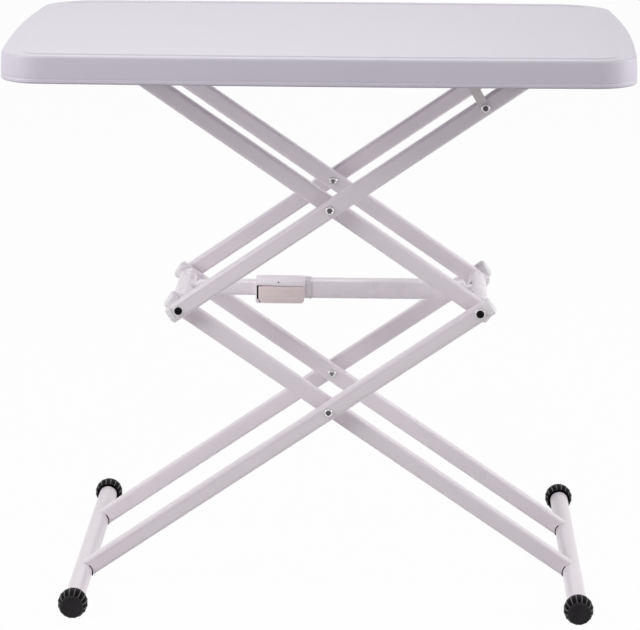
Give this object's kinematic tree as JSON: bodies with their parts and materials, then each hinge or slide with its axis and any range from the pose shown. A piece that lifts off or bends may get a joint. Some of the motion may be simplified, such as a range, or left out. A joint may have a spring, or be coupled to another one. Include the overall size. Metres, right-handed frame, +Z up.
{
  "type": "folding table",
  "caption": "Small folding table: a rounded hollow plastic top on a double scissor frame of white tubes with round foot bars, ribbed end caps and a telescoping lock bar.",
  "frame": {"origin": "on the floor, under the middle of the table top", "axes": "+Z up, +X to the right of a person at the front, the front faces -Y"},
  "size_m": [0.7664, 0.524, 0.7],
  "materials": {
    "top_plastic": "white blow-moulded plastic, satin",
    "white_steel": "white powder coat",
    "cap_plastic": "light grey moulded plastic",
    "lever_plastic": "warm white moulded plastic",
    "black_rubber": "matt black",
    "black_steel": "black oxide",
    "rivet_steel": "bright zinc",
    "zinc_sheet": "zinc-plated sheet",
    "nylon": "natural nylon"
  },
  "bodies": {
    "table_top": {"table_top": "top_plastic", "left_rail_front": "zinc_sheet", "left_rail_rear": "zinc_sheet", "right_rail_front": "zinc_sheet", "right_rail_rear": "zinc_sheet", "stay_pin_front": "rivet_steel", "stay_pin_rear": "rivet_steel"},
    "stays": {"stay_front": "white_steel", "stay_rear": "white_steel"},
    "upper_outer": {"upper_outer_arm_front": "white_steel", "upper_outer_arm_rear": "white_steel", "upper_outer_knee_cap_front": "cap_plastic", "upper_outer_knee_cap_rear": "cap_plastic", "right_slide_rod": "rivet_steel", "upper_cross_rivet_front": "rivet_steel", "upper_cross_rivet_rear": "rivet_steel", "upper_cross_spacer_front": "nylon", "upper_cross_spacer_rear": "nylon", "stay_rivet_front": "rivet_steel", "stay_rivet_rear": "rivet_steel"},
    "upper_inner": {"upper_inner_arm_front": "white_steel", "upper_inner_arm_rear": "white_steel", "upper_inner_knee_cap_front": "cap_plastic", "upper_inner_knee_cap_rear": "cap_plastic", "left_slide_rod": "rivet_steel", "right_cross_tube": "white_steel", "right_knee_axle": "black_steel", "right_knee_spacer_front": "nylon", "right_knee_spacer_rear": "nylon"},
    "lower_inner": {"lower_inner_arm_front": "white_steel", "lower_inner_arm_rear": "white_steel", "lower_inner_knee_cap_front": "cap_plastic", "lower_inner_knee_cap_rear": "cap_plastic", "right_foot_tube": "white_steel", "right_foot_cap_front": "black_rubber", "right_foot_cap_rear": "black_rubber", "left_cross_tube": "white_steel", "left_knee_axle": "black_steel", "left_knee_spacer_front": "nylon", "left_knee_spacer_rear": "nylon"},
    "lower_outer": {"lower_outer_arm_front": "white_steel", "lower_outer_arm_rear": "white_steel", "lower_outer_knee_cap_front": "cap_plastic", "lower_outer_knee_cap_rear": "cap_plastic", "left_foot_tube": "white_steel", "left_foot_cap_front": "black_rubber", "left_foot_cap_rear": "black_rubber", "lower_cross_rivet_front": "rivet_steel", "lower_cross_rivet_rear": "rivet_steel", "lower_cross_spacer_front": "nylon", "lower_cross_spacer_rear": "nylon"},
    "lock_outer": {"lock_outer_tube": "white_steel", "lock_housing": "cap_plastic", "lever_pin": "rivet_steel", "lever_spring": "rivet_steel", "lock_loop_right": "zinc_sheet"},
    "lock_inner": {"lock_inner_tube": "white_steel", "lock_loop_left": "zinc_sheet"},
    "lever": {"release_lever": "lever_plastic"}
  },
  "joints": [
    {"name": "scissor_fold", "type": "hinge", "parent": "upper_outer", "child": "upper_inner", "pos_m": [0.01267, 0, 0.49038], "axis": [0, -1, 0], "range_deg": [0, 63]},
    {"name": "stay_swing", "type": "hinge", "parent": "table_top", "child": "stays", "pos_m": [0.1797, 0, 0.65804], "axis": [0, -1, 0], "range_deg": [0, 54.47]},
    {"name": "stay_to_frame", "type": "hinge", "parent": "stays", "child": "upper_outer", "pos_m": [0.20231, 0, 0.62071], "axis": [0, -1, 0], "range_deg": [-85.97, 0]},
    {"name": "left_knee", "type": "hinge", "parent": "upper_outer", "child": "lower_inner", "pos_m": [-0.17523, 0, 0.36124], "axis": [0, -1, 0], "range_deg": [0, 63.2]},
    {"name": "right_knee", "type": "hinge", "parent": "upper_inner", "child": "lower_outer", "pos_m": [0.20058, 0, 0.36124], "axis": [0, -1, 0], "range_deg": [-63.2, 0]},
    {"name": "lock_outer_pivot", "type": "hinge", "parent": "upper_inner", "child": "lock_outer", "pos_m": [0.20058, 0, 0.36124], "axis": [0, -1, 0], "range_deg": [-31.7, 0]},
    {"name": "lock_inner_pivot", "type": "hinge", "parent": "upper_outer", "child": "lock_inner", "pos_m": [-0.17523, 0, 0.36124], "axis": [0, -1, 0], "range_deg": [0, 31.7]},
    {"name": "lever_squeeze", "type": "hinge", "parent": "lock_outer", "child": "lever", "pos_m": [-0.05502, 0, 0.35384], "axis": [0, 1, 0], "range_deg": [0, 3.5], "stiffness_Nm_per_rad": 0.4, "springref_deg": -11.46, "deforming": ["lever_spring"]}
  ],
  "couplings": [
    {"joint": "stay_swing", "follows": "scissor_fold", "ratio": 0.86138},
    {"joint": "stay_to_frame", "follows": "scissor_fold", "ratio": -1.3614},
    {"joint": "left_knee", "follows": "scissor_fold", "ratio": 1},
    {"joint": "right_knee", "follows": "scissor_fold", "ratio": -1},
    {"joint": "lock_outer_pivot", "follows": "scissor_fold", "ratio": -0.5},
    {"joint": "lock_inner_pivot", "follows": "scissor_fold", "ratio": 0.5}
  ]
}
